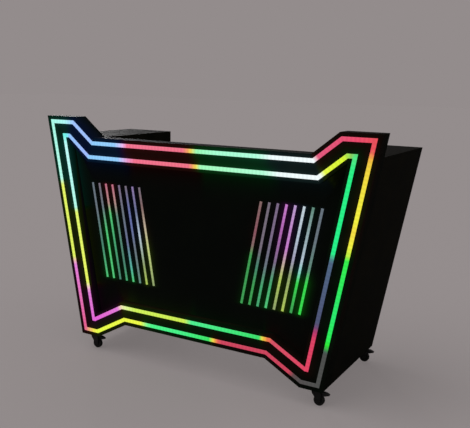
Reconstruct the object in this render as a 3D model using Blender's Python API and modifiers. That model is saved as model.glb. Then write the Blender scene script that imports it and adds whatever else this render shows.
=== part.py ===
"""Folding DJ stand: a lit front panel on casters, two folding wings and a drop-leaf table. Metres, +Z up."""

import math

import bmesh
import bpy
from mathutils import Matrix

# Fits and boards
GAP = 0.0003
BOARD = 0.012
MOVING_GAP = 0.0005

# Front panel outline: the right half is drawn and mirrored; heights start at the underside of the feet
CASTER_HEIGHT = 0.0714
FOOT_Z = CASTER_HEIGHT + GAP
PANEL_TOP = 1.0183
HALF_WIDTH = 0.8
LEAN = math.radians(10.31)
EAR_WIDTH = 0.1625
EAR_SLOPE_RUN = 0.1099
EAR_SLOPE_RISE = 0.0876
FOOT_WIDTH = 0.0994
ARCH_SLOPE_RUN = 0.1584
ARCH_Z = 0.0877
RECESS_X = HALF_WIDTH - EAR_WIDTH - EAR_SLOPE_RUN
RECESS_Z = PANEL_TOP - EAR_SLOPE_RISE
FOOT_OUTER_X = HALF_WIDTH - PANEL_TOP * math.tan(LEAN)

# Depths of the front panel, front face at y = 0
PANEL_DEPTH = 0.076
SHEET = 0.015
FIELD_Y = 0.038
FIELD_THICK = 0.012
REAR_COVER_THICK = 0.009

# Light strips: distances of their centre lines from the outline, edge by edge
OUTER_LOOP = (0.025,) * 7
INNER_LOOP = (0.0879, 0.0867, 0.0857, 0.0834, None, 0.0821, 0.0817)
CHANNEL_WIDTH = 0.0175
CHANNEL_DEPTH = 0.010
DIFFUSER_PROUD = 0.001
DIFFUSER_ROUND = 0.0025
ROUND_PROFILE = 0.5
TAPE_WIDTH = 0.010
TAPE_THICK = 0.0015
WINDOW_MARGIN = 0.022

# Light bars in the field
BARS = 8
BAR_FROM_SIDE = 0.179
BAR_Z = (0.2865, 0.7226)
BAR_PITCH = 0.0377
BAR_WIDTH = 0.0108
BAR_PROUD = 0.0005
LENS_THICK = 0.003
LENS_MARGIN = 0.014
LED_BOARD_THICK = 0.0016
LED_BOARD_MARGIN = 0.010

# Parts behind the rear cover
STIFFENER_WIDTH = 0.030
STIFFENER_Z = (0.215, 0.815)
SUPPLY_X = (-0.250, -0.090)
SUPPLY_Z = (0.112, 0.166)
SUPPLY_DEPTH = 0.034
CONTROLLER_X = (0.060, 0.170)
CONTROLLER_Z = (0.118, 0.160)
CONTROLLER_DEPTH = 0.026
VENTS = 6
VENT_PITCH = 0.022
VENT_SIZE = (0.005, 0.040)
INLET_X = -0.020
INLET_Z = 0.139
INLET_FLANGE = (0.050, 0.028, 0.0025)
INLET_BODY = (0.0274, 0.020, 0.030)
INLET_CAVITY = (0.0236, 0.0162, 0.018)
INLET_PIN = (0.002, 0.004, 0.011)
INLET_PIN_X = 0.007

# Wings: cabinets that carry on the slanted sides of the panel
WING_FROM_RECESS = 0.0036
WING_INNER_X = RECESS_X - WING_FROM_RECESS
WING_TOP = 0.9296
WING_REAR = 0.5925
WING_FLOOR = 0.015
WING_SHELF_Z = 0.430
WING_SHELF_SETBACK = 0.020

# Long hinges: leaves, knuckles and pin
LEAF_THICK = 0.002
LEAF_WIDTH = 0.026
KNUCKLE_R = 0.0045
HINGE_OFFSET = 0.005
PIN_R = 0.002
KNUCKLES = 9
WING_HINGE_Z = (0.060, 0.900)
POST_WIDTH = 0.030
POST_DEPTH = 0.048
POST_Z = (0.040, 0.915)

# Table: hangs behind the panel at rest
TABLE_END_CLEARANCE = 0.004
TABLE_HALF_WIDTH = WING_INNER_X - POST_WIDTH - TABLE_END_CLEARANCE
TABLE_DEPTH = 0.480
TABLE_THICK = 0.018
TABLE_TOP_Z = 0.880
TABLE_HINGE_INSET = 0.040
TABLE_HINGE_HALF = TABLE_HALF_WIDTH - TABLE_HINGE_INSET
TABLE_EDGE_ROUND = 0.002

# Swing-out brackets on the inner sides of the wings
ARM_LENGTH = 0.260
ARM_THICK = 0.013
ARM_HEIGHT = 0.030
ARM_END_CLEARANCE = 0.041
ARM_PIVOT_Y = PANEL_DEPTH + POST_DEPTH + ARM_END_CLEARANCE + ARM_LENGTH
ARM_UNDER_TABLE = 0.0004
ARM_PIN_R = 0.003
WALL_PLATE = (0.0018, 0.044, 0.064)
LUG_THICK = 0.0025
LUG_HALF_Y = 0.009

# Casters
CASTER_FROM_WING = 0.047
CASTER_X = WING_INNER_X + CASTER_FROM_WING
CASTER_FROM_REAR = 0.0245
FRONT_CASTER_Y = PANEL_DEPTH / 2
REAR_CASTER_Y = WING_REAR - CASTER_FROM_REAR
PLATE_SIZE = (0.056, 0.048, 0.0022)
RACE_R = 0.016
RACE_THICK = 0.003
KINGPIN_R = 0.005
KINGPIN_HEAD_R = 0.008
KINGPIN_HEAD = 0.002
SCREW_HEAD_R = 0.0035
SCREW_HEAD = 0.0014
SCREW_X = 0.0215
SCREW_Y = 0.0175
FORK_DISC_R = 0.017
FORK_DISC_THICK = 0.0039
CHEEK_IN = 0.010
CHEEK_THICK = 0.0025
AXLE_R = 0.003
AXLE_HALF = 0.0135
WHEEL_R = 0.0225
WHEEL_HALF = 0.009
TRAIL = 0.018
BRAKE_X = 0.024
BRAKE_Z = 0.052
BRAKE_BARREL_R = 0.003
BRAKE_STUB_R = 0.002
PEDAL_HALF = 0.007

ROUND_STEPS = 24
SMALL_STEPS = 16


def srgb(code):
    """Linear RGBA of a hex colour."""
    channels = [int(code[i : i + 2], 16) / 255 for i in (1, 3, 5)]
    return [c / 12.92 if c <= 0.04045 else ((c + 0.055) / 1.055) ** 2.4 for c in channels] + [1.0]


def material(name, code, roughness, metallic=0.0, glow=0.0):
    made = bpy.data.materials.new(name)
    made.use_nodes = True
    shader = made.node_tree.nodes["Principled BSDF"]
    shader.inputs["Base Color"].default_value = srgb(code)
    shader.inputs["Roughness"].default_value = roughness
    shader.inputs["Metallic"].default_value = metallic
    if glow:
        shader.inputs["Emission Color"].default_value = srgb(code)
        shader.inputs["Emission Strength"].default_value = glow
    return made


# Scene
for old in list(bpy.data.objects):
    bpy.data.objects.remove(old, do_unlink=True)
parts = bpy.data.collections.new("folding_dj_stand")
cutters = bpy.data.collections.new("cutters")
cutters.hide_render = True
bpy.context.scene.collection.children.link(parts)
bpy.context.scene.collection.children.link(cutters)

BLACK_BOARD = material("black_laminate_board", "#141416", 0.45)
BLACK_FIELD = material("black_field_board", "#0E0E10", 0.6)
OPAL = material("opal_diffuser", "#E9ECEA", 0.35, glow=1.0)
TAPE = material("led_tape", "#D8D8D2", 0.5)
CIRCUIT = material("circuit_board", "#1F3B2A", 0.5)
STEEL = material("zinc_plated_steel", "#B9BCC0", 0.35, 1.0)
BLACK_STEEL = material("black_steel", "#1B1B1D", 0.4, 0.6)
SUPPLY_METAL = material("galvanised_case", "#A9ADB0", 0.45, 0.9)
BLACK_PLASTIC = material("black_plastic", "#161616", 0.5)
RUBBER = material("wheel_rubber", "#1A1A1A", 0.75)


def place(mesh, name, finish, collection):
    obj = bpy.data.objects.new(name, mesh)
    if finish:
        mesh.materials.append(finish)
    collection.objects.link(obj)
    if collection == cutters:
        obj.hide_render = True
        obj.display_type = "WIRE"
    return obj


def slab(name, loops, low, high, finish=None, plane="XZ"):
    """A flat body from closed outlines (the first outside, more inside it are holes) between two depths."""
    curve = bpy.data.curves.new(name, "CURVE")
    curve.dimensions = "2D"
    curve.fill_mode = "BOTH"
    curve.extrude = (high - low) / 2
    for loop in loops:
        spline = curve.splines.new("POLY")
        spline.points.add(len(loop) - 1)
        spline.use_cyclic_u = True
        for point, (u, v) in zip(spline.points, loop):
            point.co = (u, v, 0, 1)
    drawn = bpy.data.objects.new(name + "_curve", curve)
    bpy.context.scene.collection.objects.link(drawn)
    graph = bpy.context.evaluated_depsgraph_get()
    mesh = bpy.data.meshes.new_from_object(drawn.evaluated_get(graph))
    bpy.data.objects.remove(drawn, do_unlink=True)
    middle = (low + high) / 2
    if plane == "XZ":
        mesh.transform(Matrix.Translation((0, middle, 0)) @ Matrix.Rotation(math.pi / 2, 4, "X"))
    else:
        mesh.transform(Matrix.Translation((0, 0, middle)))
    shape = bmesh.new()
    shape.from_mesh(mesh)
    bmesh.ops.remove_doubles(shape, verts=shape.verts, dist=0.00001)
    bmesh.ops.recalc_face_normals(shape, faces=shape.faces)
    shape.to_mesh(mesh)
    shape.free()
    mesh.materials.clear()
    mesh.name = name
    return place(mesh, name, finish, parts if finish else cutters)


def box(name, x, y, z, finish=None):
    """A rectangular body between three pairs of coordinates."""
    shape = bmesh.new()
    centre = [(pair[0] + pair[1]) / 2 for pair in (x, y, z)]
    size = [abs(pair[1] - pair[0]) for pair in (x, y, z)]
    bmesh.ops.create_cube(shape, size=1, matrix=Matrix.Translation(centre) @ Matrix.Diagonal(size + [1]))
    mesh = bpy.data.meshes.new(name)
    shape.to_mesh(mesh)
    shape.free()
    return place(mesh, name, finish, parts if finish else cutters)


def rod(name, radius, low, high, at=(0, 0), along="Z", finish=None, steps=SMALL_STEPS):
    """A round bar along one axis between two coordinates; at holds its other two coordinates."""
    shape = bmesh.new()
    bmesh.ops.create_cone(
        shape,
        cap_ends=True,
        segments=steps,
        radius1=radius,
        radius2=radius,
        depth=high - low,
        matrix=Matrix.Rotation(math.pi / steps, 4, "Z"),
    )
    middle = (low + high) / 2
    turn, shift = {
        "X": (Matrix.Rotation(math.pi / 2, 4, "Y"), (middle, at[0], at[1])),
        "Y": (Matrix.Rotation(math.pi / 2, 4, "X"), (at[0], middle, at[1])),
        "Z": (Matrix.Identity(4), (at[0], at[1], middle)),
    }[along]
    bmesh.ops.transform(shape, matrix=Matrix.Translation(shift) @ turn, verts=shape.verts)
    bmesh.ops.recalc_face_normals(shape, faces=shape.faces)
    mesh = bpy.data.meshes.new(name)
    shape.to_mesh(mesh)
    shape.free()
    obj = place(mesh, name, finish, parts if finish else cutters)
    if finish:
        smooth(obj)
    return obj


def smooth(obj, angle=40):
    obj.data.shade_smooth()
    obj.data.set_sharp_from_angle(angle=math.radians(angle))


def boolean(base, tool, operation):
    tool.parent = base
    modifier = base.modifiers.new(tool.name, "BOOLEAN")
    modifier.operation = operation
    modifier.solver = "EXACT"
    modifier.object = tool


def cut(base, tool):
    boolean(base, tool, "DIFFERENCE")


def join(base, tool):
    boolean(base, tool, "UNION")


def rounded(obj, width, segments=2, angle=50):
    """Rounds the edges sharper than the angle."""
    modifier = obj.modifiers.new("rounded", "BEVEL")
    modifier.width = width
    modifier.segments = segments
    modifier.limit_method = "ANGLE"
    modifier.angle_limit = math.radians(angle)
    return obj


def axis_point(name, location):
    """An empty on a joint axis, which the moving pieces are parented to."""
    empty = bpy.data.objects.new(name, None)
    empty.empty_display_size = 0.03
    empty.location = location
    parts.objects.link(empty)
    return empty


def hang(obj, parent):
    """Parents a piece made in world coordinates, so that it keeps its place."""
    bpy.context.view_layer.update()
    obj.parent = parent
    obj.matrix_parent_inverse = parent.matrix_world.inverted()
    return obj


# Outlines of the front panel
def side_x(z, inwards=0.0):
    """The slanted side plane's x at a height above the feet, moved inwards."""
    return HALF_WIDTH - (PANEL_TOP - z) * math.tan(LEAN) - inwards / math.cos(LEAN)


OUTLINE = [
    (0, RECESS_Z),
    (RECESS_X, RECESS_Z),
    (HALF_WIDTH - EAR_WIDTH, PANEL_TOP),
    (HALF_WIDTH, PANEL_TOP),
    (FOOT_OUTER_X, 0),
    (FOOT_OUTER_X - FOOT_WIDTH, 0),
    (FOOT_OUTER_X - FOOT_WIDTH - ARCH_SLOPE_RUN, ARCH_Z),
    (0, ARCH_Z),
]


def inset(distances):
    """The outline moved inwards edge by edge, both halves; an edge whose distance is None is left out."""
    lines = []
    for (x0, z0), (x1, z1), distance in zip(OUTLINE, OUTLINE[1:], distances):
        if distance is None:
            continue
        length = math.hypot(x1 - x0, z1 - z0)
        along = ((x1 - x0) / length, (z1 - z0) / length)
        lines.append(((x0 + along[1] * distance, z0 - along[0] * distance), along))
    right = []
    for (p, a), (q, b) in zip(lines, lines[1:]):
        cross = a[0] * b[1] - a[1] * b[0]
        reach = ((q[0] - p[0]) * b[1] - (q[1] - p[1]) * b[0]) / cross
        right.append((p[0] + a[0] * reach, p[1] + a[1] * reach + FOOT_Z))
    return right + [(-x, z) for x, z in reversed(right)]


def wider(distances, more, without_ear=False):
    made = [None if d is None else d + more for d in distances]
    if without_ear:
        made[2] = None
    return made


def ring(name, centre_line, width, low, high, finish=None):
    loops = [inset(wider(centre_line, -width / 2)), inset(wider(centre_line, width / 2))]
    return slab(name, loops, low, high, finish)


EDGE = (0,) * 7
WINDOW = inset(wider(INNER_LOOP, WINDOW_MARGIN, without_ear=True))

# Front frame: one thick board, hollowed from the rear, with a routed channel for each light loop
front_frame = slab("front_frame", [inset(EDGE), WINDOW], 0, PANEL_DEPTH, BLACK_BOARD)
rear_pocket = slab("rear_pocket", [inset(wider(EDGE, BOARD))], FIELD_Y - GAP, PANEL_DEPTH + BOARD)
inner_wall = inset(wider(INNER_LOOP, WINDOW_MARGIN - BOARD))
border_pocket = slab("border_pocket", [inset(wider(EDGE, BOARD)), inner_wall], SHEET, FIELD_Y + BOARD)
cut(front_frame, rear_pocket)
cut(front_frame, border_pocket)
for side_name, centre_line in (("outer", OUTER_LOOP), ("inner", INNER_LOOP)):
    channel = ring(side_name + "_channel", centre_line, CHANNEL_WIDTH, -SHEET, CHANNEL_DEPTH)
    cut(front_frame, channel)


def front_edges_rounded(obj, width):
    """Rounds the edges of the front face, at the lowest y."""
    shape = bmesh.new()
    shape.from_mesh(obj.data)
    front = min(v.co.y for v in shape.verts)
    edges = []
    for edge in shape.edges:
        on_front = all(abs(v.co.y - front) < 1e-6 for v in edge.verts)
        if on_front and edge.calc_face_angle(0) > 1:
            edges.append(edge)
    bmesh.ops.bevel(shape, geom=edges, offset=width, segments=3, profile=ROUND_PROFILE, affect="EDGES")
    shape.to_mesh(obj.data)
    shape.free()


# Light loops: a diffuser over a tape in each channel
for side_name, centre_line in (("outer", OUTER_LOOP), ("inner", INNER_LOOP)):
    tape_front = CHANNEL_DEPTH - GAP - TAPE_THICK
    ring(side_name + "_led_tape", centre_line, TAPE_WIDTH, tape_front, CHANNEL_DEPTH - GAP, TAPE)
    diffuser_width = CHANNEL_WIDTH - 2 * GAP
    diffuser = ring(
        side_name + "_diffuser", centre_line, diffuser_width, -DIFFUSER_PROUD, tape_front - GAP, OPAL
    )
    front_edges_rounded(diffuser, DIFFUSER_ROUND)
    smooth(diffuser, 35)


def bar(side, number, width, longer=0.0):
    """Outline of one leaning light bar, number 0 outermost, with ends square to its length."""
    along = (math.sin(LEAN), math.cos(LEAN))
    corners = []
    for z, way, half in ((BAR_Z[1], 1, 1), (BAR_Z[1], 1, -1), (BAR_Z[0], -1, -1), (BAR_Z[0], -1, 1)):
        x = side_x(z) - BAR_FROM_SIDE - number * BAR_PITCH
        x += along[0] * longer * way + along[1] * half * width / 2
        z += along[1] * longer * way - along[0] * half * width / 2
        corners.append((side * x, z + FOOT_Z))
    return corners


def bar_area(side, margin):
    """Outline of the leaning area that all bars of a side lie in."""
    low, high = BAR_Z[0] - margin, BAR_Z[1] + margin
    outer = BAR_FROM_SIDE - margin
    inner = BAR_FROM_SIDE + (BARS - 1) * BAR_PITCH + margin
    corners = ((low, outer), (high, outer), (high, inner), (low, inner))
    return [(side * (side_x(z) - off), z + FOOT_Z) for z, off in corners]


SIDES = (("left", -1), ("right", 1))

# Field panel with a slot for each bar, and behind it the lens plates and their LED boards
slots = [bar(side, number, BAR_WIDTH + 2 * GAP, GAP) for _, side in SIDES for number in range(BARS)]
field_edge = inset(wider(INNER_LOOP, WINDOW_MARGIN - BOARD + 0.001))
slab("field_panel", [field_edge] + slots, FIELD_Y, FIELD_Y + FIELD_THICK, BLACK_FIELD)
lens_front = FIELD_Y + FIELD_THICK + GAP
led_board_front = lens_front + LENS_THICK + GAP
for side_name, side in SIDES:
    lens = slab(
        side_name + "_bar_lens", [bar_area(side, LENS_MARGIN)], lens_front, lens_front + LENS_THICK, OPAL
    )
    ribs = slab(
        side_name + "_bar_ribs",
        [bar(side, number, BAR_WIDTH) for number in range(BARS)],
        FIELD_Y - BAR_PROUD,
        lens_front + LENS_THICK / 2,
    )
    join(lens, ribs)
    slab(
        side_name + "_bar_led_board",
        [bar_area(side, LED_BOARD_MARGIN)],
        led_board_front,
        led_board_front + LED_BOARD_THICK,
        CIRCUIT,
    )

# Rear cover with a stiffener, vents and the opening for the power inlet
cover_y = (PANEL_DEPTH - REAR_COVER_THICK, PANEL_DEPTH)
rear_cover = slab("rear_cover", [inset(wider(EDGE, BOARD + GAP))], *cover_y, BLACK_FIELD)
stiffener = box(
    "stiffener",
    (-STIFFENER_WIDTH / 2, STIFFENER_WIDTH / 2),
    (lens_front, cover_y[0] + REAR_COVER_THICK / 2),
    (STIFFENER_Z[0] + FOOT_Z, STIFFENER_Z[1] + FOOT_Z),
)
join(rear_cover, stiffener)
vent_middle = (SUPPLY_X[0] + SUPPLY_X[1]) / 2
supply_middle = (SUPPLY_Z[0] + SUPPLY_Z[1]) / 2 + FOOT_Z
vent_loops = []
for number in range(VENTS):
    x = vent_middle + (number - (VENTS - 1) / 2) * VENT_PITCH
    half_x, half_z = VENT_SIZE[0] / 2, VENT_SIZE[1] / 2
    vent_loops.append(
        [
            (x - half_x, supply_middle - half_z),
            (x + half_x, supply_middle - half_z),
            (x + half_x, supply_middle + half_z),
            (x - half_x, supply_middle + half_z),
        ]
    )
cut(rear_cover, slab("vents", vent_loops, cover_y[0] - BOARD, cover_y[1] + BOARD))
inlet_z = INLET_Z + FOOT_Z
inlet_hole = box(
    "inlet_hole",
    (INLET_X - INLET_BODY[0] / 2 - GAP, INLET_X + INLET_BODY[0] / 2 + GAP),
    (cover_y[0] - BOARD, cover_y[1] + BOARD),
    (inlet_z - INLET_BODY[1] / 2 - GAP, inlet_z + INLET_BODY[1] / 2 + GAP),
)
cut(rear_cover, inlet_hole)

# Power supply and light controller, screwed to the front of the rear cover
supply = box(
    "power_supply",
    SUPPLY_X,
    (cover_y[0] - GAP - SUPPLY_DEPTH, cover_y[0] - GAP),
    (SUPPLY_Z[0] + FOOT_Z, SUPPLY_Z[1] + FOOT_Z),
    SUPPLY_METAL,
)
rounded(supply, 0.0015)
controller = box(
    "light_controller",
    CONTROLLER_X,
    (cover_y[0] - GAP - CONTROLLER_DEPTH, cover_y[0] - GAP),
    (CONTROLLER_Z[0] + FOOT_Z, CONTROLLER_Z[1] + FOOT_Z),
    BLACK_PLASTIC,
)
rounded(controller, 0.003)

# Power inlet: flange on the cover, body through it, socket with three pins
flange_y = (PANEL_DEPTH + GAP, PANEL_DEPTH + GAP + INLET_FLANGE[2])
inlet = box(
    "power_inlet",
    (INLET_X - INLET_FLANGE[0] / 2, INLET_X + INLET_FLANGE[0] / 2),
    flange_y,
    (inlet_z - INLET_FLANGE[1] / 2, inlet_z + INLET_FLANGE[1] / 2),
    BLACK_PLASTIC,
)
inlet_body = box(
    "inlet_body",
    (INLET_X - INLET_BODY[0] / 2, INLET_X + INLET_BODY[0] / 2),
    (flange_y[1] - INLET_BODY[2], (flange_y[0] + flange_y[1]) / 2),
    (inlet_z - INLET_BODY[1] / 2, inlet_z + INLET_BODY[1] / 2),
)
join(inlet, inlet_body)
inlet_cavity = box(
    "inlet_cavity",
    (INLET_X - INLET_CAVITY[0] / 2, INLET_X + INLET_CAVITY[0] / 2),
    (flange_y[1] - INLET_CAVITY[2], flange_y[1] + BOARD),
    (inlet_z - INLET_CAVITY[1] / 2, inlet_z + INLET_CAVITY[1] / 2),
)
cut(inlet, inlet_cavity)
cavity_floor = flange_y[1] - INLET_CAVITY[2]
for number in (-1, 0, 1):
    x = INLET_X + number * INLET_PIN_X
    inlet_pin = box(
        f"inlet_pin_{number + 2}",
        (x - INLET_PIN[0] / 2, x + INLET_PIN[0] / 2),
        (cavity_floor - INLET_PIN[0], cavity_floor + INLET_PIN[2]),
        (inlet_z - INLET_PIN[1] / 2, inlet_z + INLET_PIN[1] / 2),
    )
    join(inlet, inlet_pin)


# Long hinges. Local frame: the axis is Z, the leaf lies in +X or -X of it on the -Y side.
def leaf(name, length, number, way, finish):
    """One leaf: number 0 has the even knuckles, 1 the odd ones; way is the side that it lies on."""
    pitch = length / KNUCKLES
    near = KNUCKLE_R + MOVING_GAP
    own = [k for k in range(KNUCKLES) if k % 2 == number]
    edge = []
    for k in range(KNUCKLES):
        low = k * pitch - length / 2 + (MOVING_GAP if k in own else -MOVING_GAP)
        high = (k + 1) * pitch - length / 2 - (MOVING_GAP if k in own else -MOVING_GAP)
        low = max(low, -length / 2)
        high = min(high, length / 2)
        reach = -BAR_PROUD if k in own else near
        edge += [(way * reach, low), (way * reach, high)]
    outline = edge + [(way * LEAF_WIDTH, length / 2), (way * LEAF_WIDTH, -length / 2)]
    outer = -HINGE_OFFSET + GAP
    made = slab(name, [outline], outer, outer + LEAF_THICK, finish)
    knuckles = bmesh.new()
    for k in own:
        low = k * pitch - length / 2 + MOVING_GAP
        high = (k + 1) * pitch - length / 2 - MOVING_GAP
        bmesh.ops.create_cone(
            knuckles,
            cap_ends=True,
            segments=SMALL_STEPS,
            radius1=KNUCKLE_R,
            radius2=KNUCKLE_R,
            depth=high - low,
            matrix=Matrix.Translation((0, 0, (low + high) / 2)) @ Matrix.Rotation(0.1, 4, "Z"),
        )
    mesh = bpy.data.meshes.new(name + "_knuckles")
    knuckles.to_mesh(mesh)
    knuckles.free()
    join(made, place(mesh, name + "_knuckles", None, cutters))
    cut(made, rod(name + "_bore", PIN_R + GAP, -length, length))
    return made


# Hinge posts and wings
def wing_board(name, side, corners, y):
    """A board of a wing; corners are (x, height above the feet)."""
    return slab(name, [[(side * x, z + FOOT_Z) for x, z in corners]], *y, BLACK_BOARD)


wing_y = (PANEL_DEPTH + GAP, WING_REAR)
under_top = WING_TOP - BOARD
inside_x = WING_INNER_X + BOARD + GAP
hinge_axis_x = WING_INNER_X - HINGE_OFFSET
hinge_axis_y = PANEL_DEPTH + POST_DEPTH + HINGE_OFFSET
wing_hinge_length = WING_HINGE_Z[1] - WING_HINGE_Z[0]
wing_hinge_middle = (WING_HINGE_Z[0] + WING_HINGE_Z[1]) / 2 + FOOT_Z
wings = {}
for side_name, side in SIDES:
    box(
        "hinge_post_" + side_name,
        (side * (WING_INNER_X - GAP - POST_WIDTH), side * (WING_INNER_X - GAP)),
        (PANEL_DEPTH + GAP, PANEL_DEPTH + POST_DEPTH),
        (POST_Z[0] + FOOT_Z, POST_Z[1] + FOOT_Z),
        BLACK_BOARD,
    )
    wing = axis_point(side_name + "_wing", (side * hinge_axis_x, hinge_axis_y, wing_hinge_middle))
    wings[side] = wing
    prefix = side_name + "_wing_"
    top_of_sides = under_top - GAP
    boards = (
        ("side", [(side_x(0), 0), (side_x(top_of_sides), top_of_sides),
                  (side_x(top_of_sides, BOARD), top_of_sides), (side_x(0, BOARD), 0)], wing_y),
        ("inner", [(WING_INNER_X, 0), (WING_INNER_X + BOARD, 0),
                   (WING_INNER_X + BOARD, top_of_sides), (WING_INNER_X, top_of_sides)], wing_y),
        ("top", [(WING_INNER_X, under_top), (side_x(under_top), under_top),
                 (side_x(WING_TOP), WING_TOP), (WING_INNER_X, WING_TOP)], wing_y),
        ("floor", [(inside_x, 0), (side_x(0, BOARD + GAP), 0),
                   (side_x(WING_FLOOR, BOARD + GAP), WING_FLOOR), (inside_x, WING_FLOOR)], wing_y),
        ("front", [(inside_x, WING_FLOOR + GAP), (side_x(WING_FLOOR + GAP, BOARD + GAP), WING_FLOOR + GAP),
                   (side_x(top_of_sides, BOARD + GAP), top_of_sides), (inside_x, top_of_sides)],
         (wing_y[0], wing_y[0] + BOARD)),
        ("shelf", [(inside_x, WING_SHELF_Z), (side_x(WING_SHELF_Z, BOARD + GAP), WING_SHELF_Z),
                   (side_x(WING_SHELF_Z + BOARD, BOARD + GAP), WING_SHELF_Z + BOARD),
                   (inside_x, WING_SHELF_Z + BOARD)],
         (wing_y[0] + BOARD + GAP, WING_REAR - WING_SHELF_SETBACK)),
    )
    for board_name, corners, y in boards:
        hang(wing_board(prefix + board_name, side, corners, y), wing)
    fixed = leaf(side_name + "_hinge_fixed_leaf", wing_hinge_length, 0, -side, STEEL)
    fixed.location = wing.location
    moving = leaf(side_name + "_hinge_moving_leaf", wing_hinge_length, 1, side, STEEL)
    moving.rotation_euler = (0, 0, side * math.pi / 2)
    moving.parent = wing
    pin = rod(side_name + "_hinge_pin", PIN_R, -wing_hinge_length / 2, wing_hinge_length / 2, finish=STEEL)
    pin.location = wing.location

# Table, hanging from its hinge behind the panel
table_axis_y = PANEL_DEPTH + HINGE_OFFSET
table_axis_z = TABLE_TOP_Z - TABLE_THICK - HINGE_OFFSET + FOOT_Z
table = axis_point("table", (0, table_axis_y, table_axis_z))
table_front = HINGE_OFFSET - MOVING_GAP
table_board = box(
    "table_board",
    (-TABLE_HALF_WIDTH, TABLE_HALF_WIDTH),
    (HINGE_OFFSET, HINGE_OFFSET + TABLE_THICK),
    (table_front - TABLE_DEPTH, table_front),
    BLACK_BOARD,
)
rounded(table_board, TABLE_EDGE_ROUND)
table_board.parent = table
table_fixed = leaf("table_hinge_fixed_leaf", 2 * TABLE_HINGE_HALF, 0, 1, STEEL)
table_fixed.location = table.location
table_fixed.rotation_euler = (0, math.pi / 2, 0)
table_moving = leaf("table_hinge_moving_leaf", 2 * TABLE_HINGE_HALF, 1, -1, STEEL)
table_moving.rotation_mode = "QUATERNION"
turned = Matrix.Rotation(math.pi / 2, 3, "Y") @ Matrix.Rotation(math.pi, 3, "Z")
table_moving.rotation_quaternion = turned.to_quaternion()
table_moving.parent = table
table_pin = rod("table_hinge_pin", PIN_R, -TABLE_HINGE_HALF, TABLE_HINGE_HALF, along="X", finish=STEEL)
table_pin.location = table.location


# Brackets that carry the raised table
def stadium(x, y0, y1, half):
    """Outline of a bar with round ends along Y."""
    points = []
    for centre, start in ((y1, 0), (y0, 180)):
        for step in range(9):
            angle = math.radians(start + step * 180 / 8)
            points.append((x + half * math.cos(angle), centre + half * math.sin(angle)))
    return points


arm_x = WING_INNER_X - WALL_PLATE[0] - GAP - MOVING_GAP - ARM_THICK / 2
arm_top = TABLE_TOP_Z - TABLE_THICK - ARM_UNDER_TABLE + FOOT_Z
arm_z = (arm_top - ARM_HEIGHT, arm_top)
for side_name, side in SIDES:
    pivot = axis_point(side_name + "_bracket", (side * arm_x, ARM_PIVOT_Y, arm_z[0]))
    hang(pivot, wings[side])
    arm_outline = stadium(0, -ARM_LENGTH + ARM_THICK / 2, 0, ARM_THICK / 2)
    arm = slab(side_name + "_bracket_arm", [arm_outline], 0, ARM_HEIGHT, BLACK_STEEL, plane="XY")
    cut(arm, rod(side_name + "_arm_bore", ARM_PIN_R + GAP, -ARM_HEIGHT, 2 * ARM_HEIGHT))
    arm.parent = pivot
    plate_x = (WING_INNER_X - GAP - WALL_PLATE[0], WING_INNER_X - GAP)
    middle_z = (arm_z[0] + arm_z[1]) / 2
    wall_plate = box(
        side_name + "_bracket_plate",
        (side * plate_x[0], side * plate_x[1]),
        (ARM_PIVOT_Y - WALL_PLATE[1] / 2, ARM_PIVOT_Y + WALL_PLATE[1] / 2),
        (middle_z - WALL_PLATE[2] / 2, middle_z + WALL_PLATE[2] / 2),
        BLACK_STEEL,
    )
    for lug_name, low in (("low", arm_z[0] - GAP - LUG_THICK), ("high", arm_z[1] + GAP)):
        lug = box(
            f"{side_name}_{lug_name}_lug",
            (side * (arm_x - ARM_THICK / 2), side * (plate_x[0] + plate_x[1]) / 2),
            (ARM_PIVOT_Y - LUG_HALF_Y, ARM_PIVOT_Y + LUG_HALF_Y),
            (low, low + LUG_THICK),
        )
        join(wall_plate, lug)
    bracket_pin = rod(
        side_name + "_bracket_pin",
        ARM_PIN_R,
        arm_z[0] - GAP - LUG_THICK / 2,
        arm_z[1] + GAP + LUG_THICK / 2,
        at=(side * arm_x, ARM_PIVOT_Y),
    )
    join(wall_plate, bracket_pin)
    hang(wall_plate, wings[side])

# Casters: plate, fork, wheel and brake pedal, all trailing towards +X
CHEEK = [
    (-0.0135, 0.0640),
    (0.0140, 0.0640),
    (0.0265, 0.0570),
    (0.0285, 0.0480),
    (0.0265, 0.0240),
    (0.0245, 0.0175),
    (0.0180, 0.0150),
    (0.0115, 0.0180),
    (0.0090, 0.0260),
    (-0.0100, 0.0500),
]
PEDAL = [
    (0.0205, 0.0545),
    (0.0240, 0.0580),
    (0.0320, 0.0605),
    (0.0450, 0.0600),
    (0.0560, 0.0565),
    (0.0620, 0.0520),
    (0.0605, 0.0497),
    (0.0550, 0.0535),
    (0.0440, 0.0567),
    (0.0330, 0.0565),
    (0.0280, 0.0500),
    (0.0235, 0.0455),
    (0.0205, 0.0458),
]
WHEEL_PROFILE = [
    (AXLE_R + GAP, WHEEL_HALF),
    (0.0070, WHEEL_HALF),
    (0.0085, 0.0065),
    (0.0150, 0.0065),
    (0.0165, 0.0086),
    (0.0195, WHEEL_HALF),
    (0.0216, 0.0078),
    (WHEEL_R, 0.0050),
    (WHEEL_R, -0.0050),
    (0.0216, -0.0078),
    (0.0195, -WHEEL_HALF),
    (0.0165, -0.0086),
    (0.0150, -0.0065),
    (0.0085, -0.0065),
    (0.0070, -WHEEL_HALF),
    (AXLE_R + GAP, -WHEEL_HALF),
]


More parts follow.
